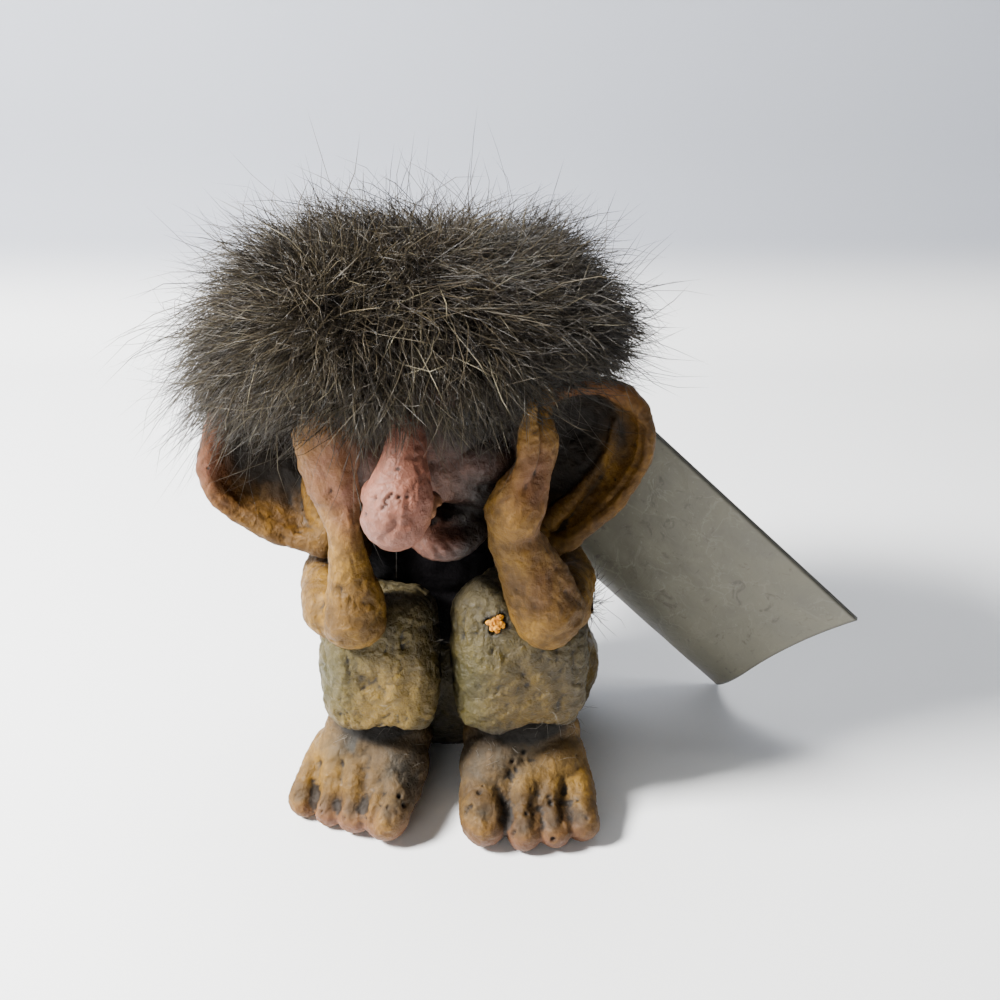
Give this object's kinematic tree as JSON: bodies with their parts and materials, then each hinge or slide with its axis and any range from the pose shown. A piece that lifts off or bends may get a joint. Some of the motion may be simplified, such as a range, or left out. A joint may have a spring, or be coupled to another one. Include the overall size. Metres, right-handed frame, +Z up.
{
  "type": "troll figure",
  "caption": "Squatting long-nosed troll figure with big ear bowls and a fur mop, its head propped in its hands, and a plain card tag hung behind its left shoulder.",
  "frame": {"origin": "the figure's flat underside, below the middle of its trunk, on the surface that it sits on", "axes": "+Z up, the figure faces -Y, and its own left is +X"},
  "size_m": [0.1197, 0.066, 0.1055],
  "materials": {
    "skin": "painted, dull",
    "pink_skin": "painted, dull",
    "trousers": "painted, dull",
    "foam": "crumbly foam",
    "bead": "gloss",
    "backing": "woven",
    "fur": "long pile",
    "card": "scuffed card"
  },
  "bodies": {
    "figure": {"trouser_seat": "trousers", "trunk_skin": "trousers", "trunk_foam": "foam", "right_trouser_leg": "trousers", "left_trouser_leg": "trousers", "right_leg_foam": "foam", "left_leg_foam": "foam", "right_foot": "skin", "left_foot": "skin", "right_upper_arm": "skin", "left_upper_arm": "skin", "right_forearm": "skin", "left_forearm": "skin", "right_hand": "skin", "left_hand": "skin", "head_skin": "skin", "head_foam": "foam", "nose": "pink_skin", "lower_lip": "pink_skin", "right_ear": "skin", "left_ear": "skin", "right_eye": "bead", "left_eye": "bead", "wig_backing": "backing", "hair_right": "fur", "hair_left": "fur", "hair_fringe": "fur", "hair_mane": "fur", "tail": "skin", "tail_tuft": "fur"},
    "tag": {"tag_front_leaf": "card", "tag_back_leaf": "card"}
  },
  "joints": [
    {"name": "tag_swing", "type": "hinge", "parent": "figure", "child": "tag", "pos_m": [0.03481, 0.00192, 0.05994], "axis": [-0.3359, -0.9345, -0.1182], "range_deg": [0, 40]}
  ]
}
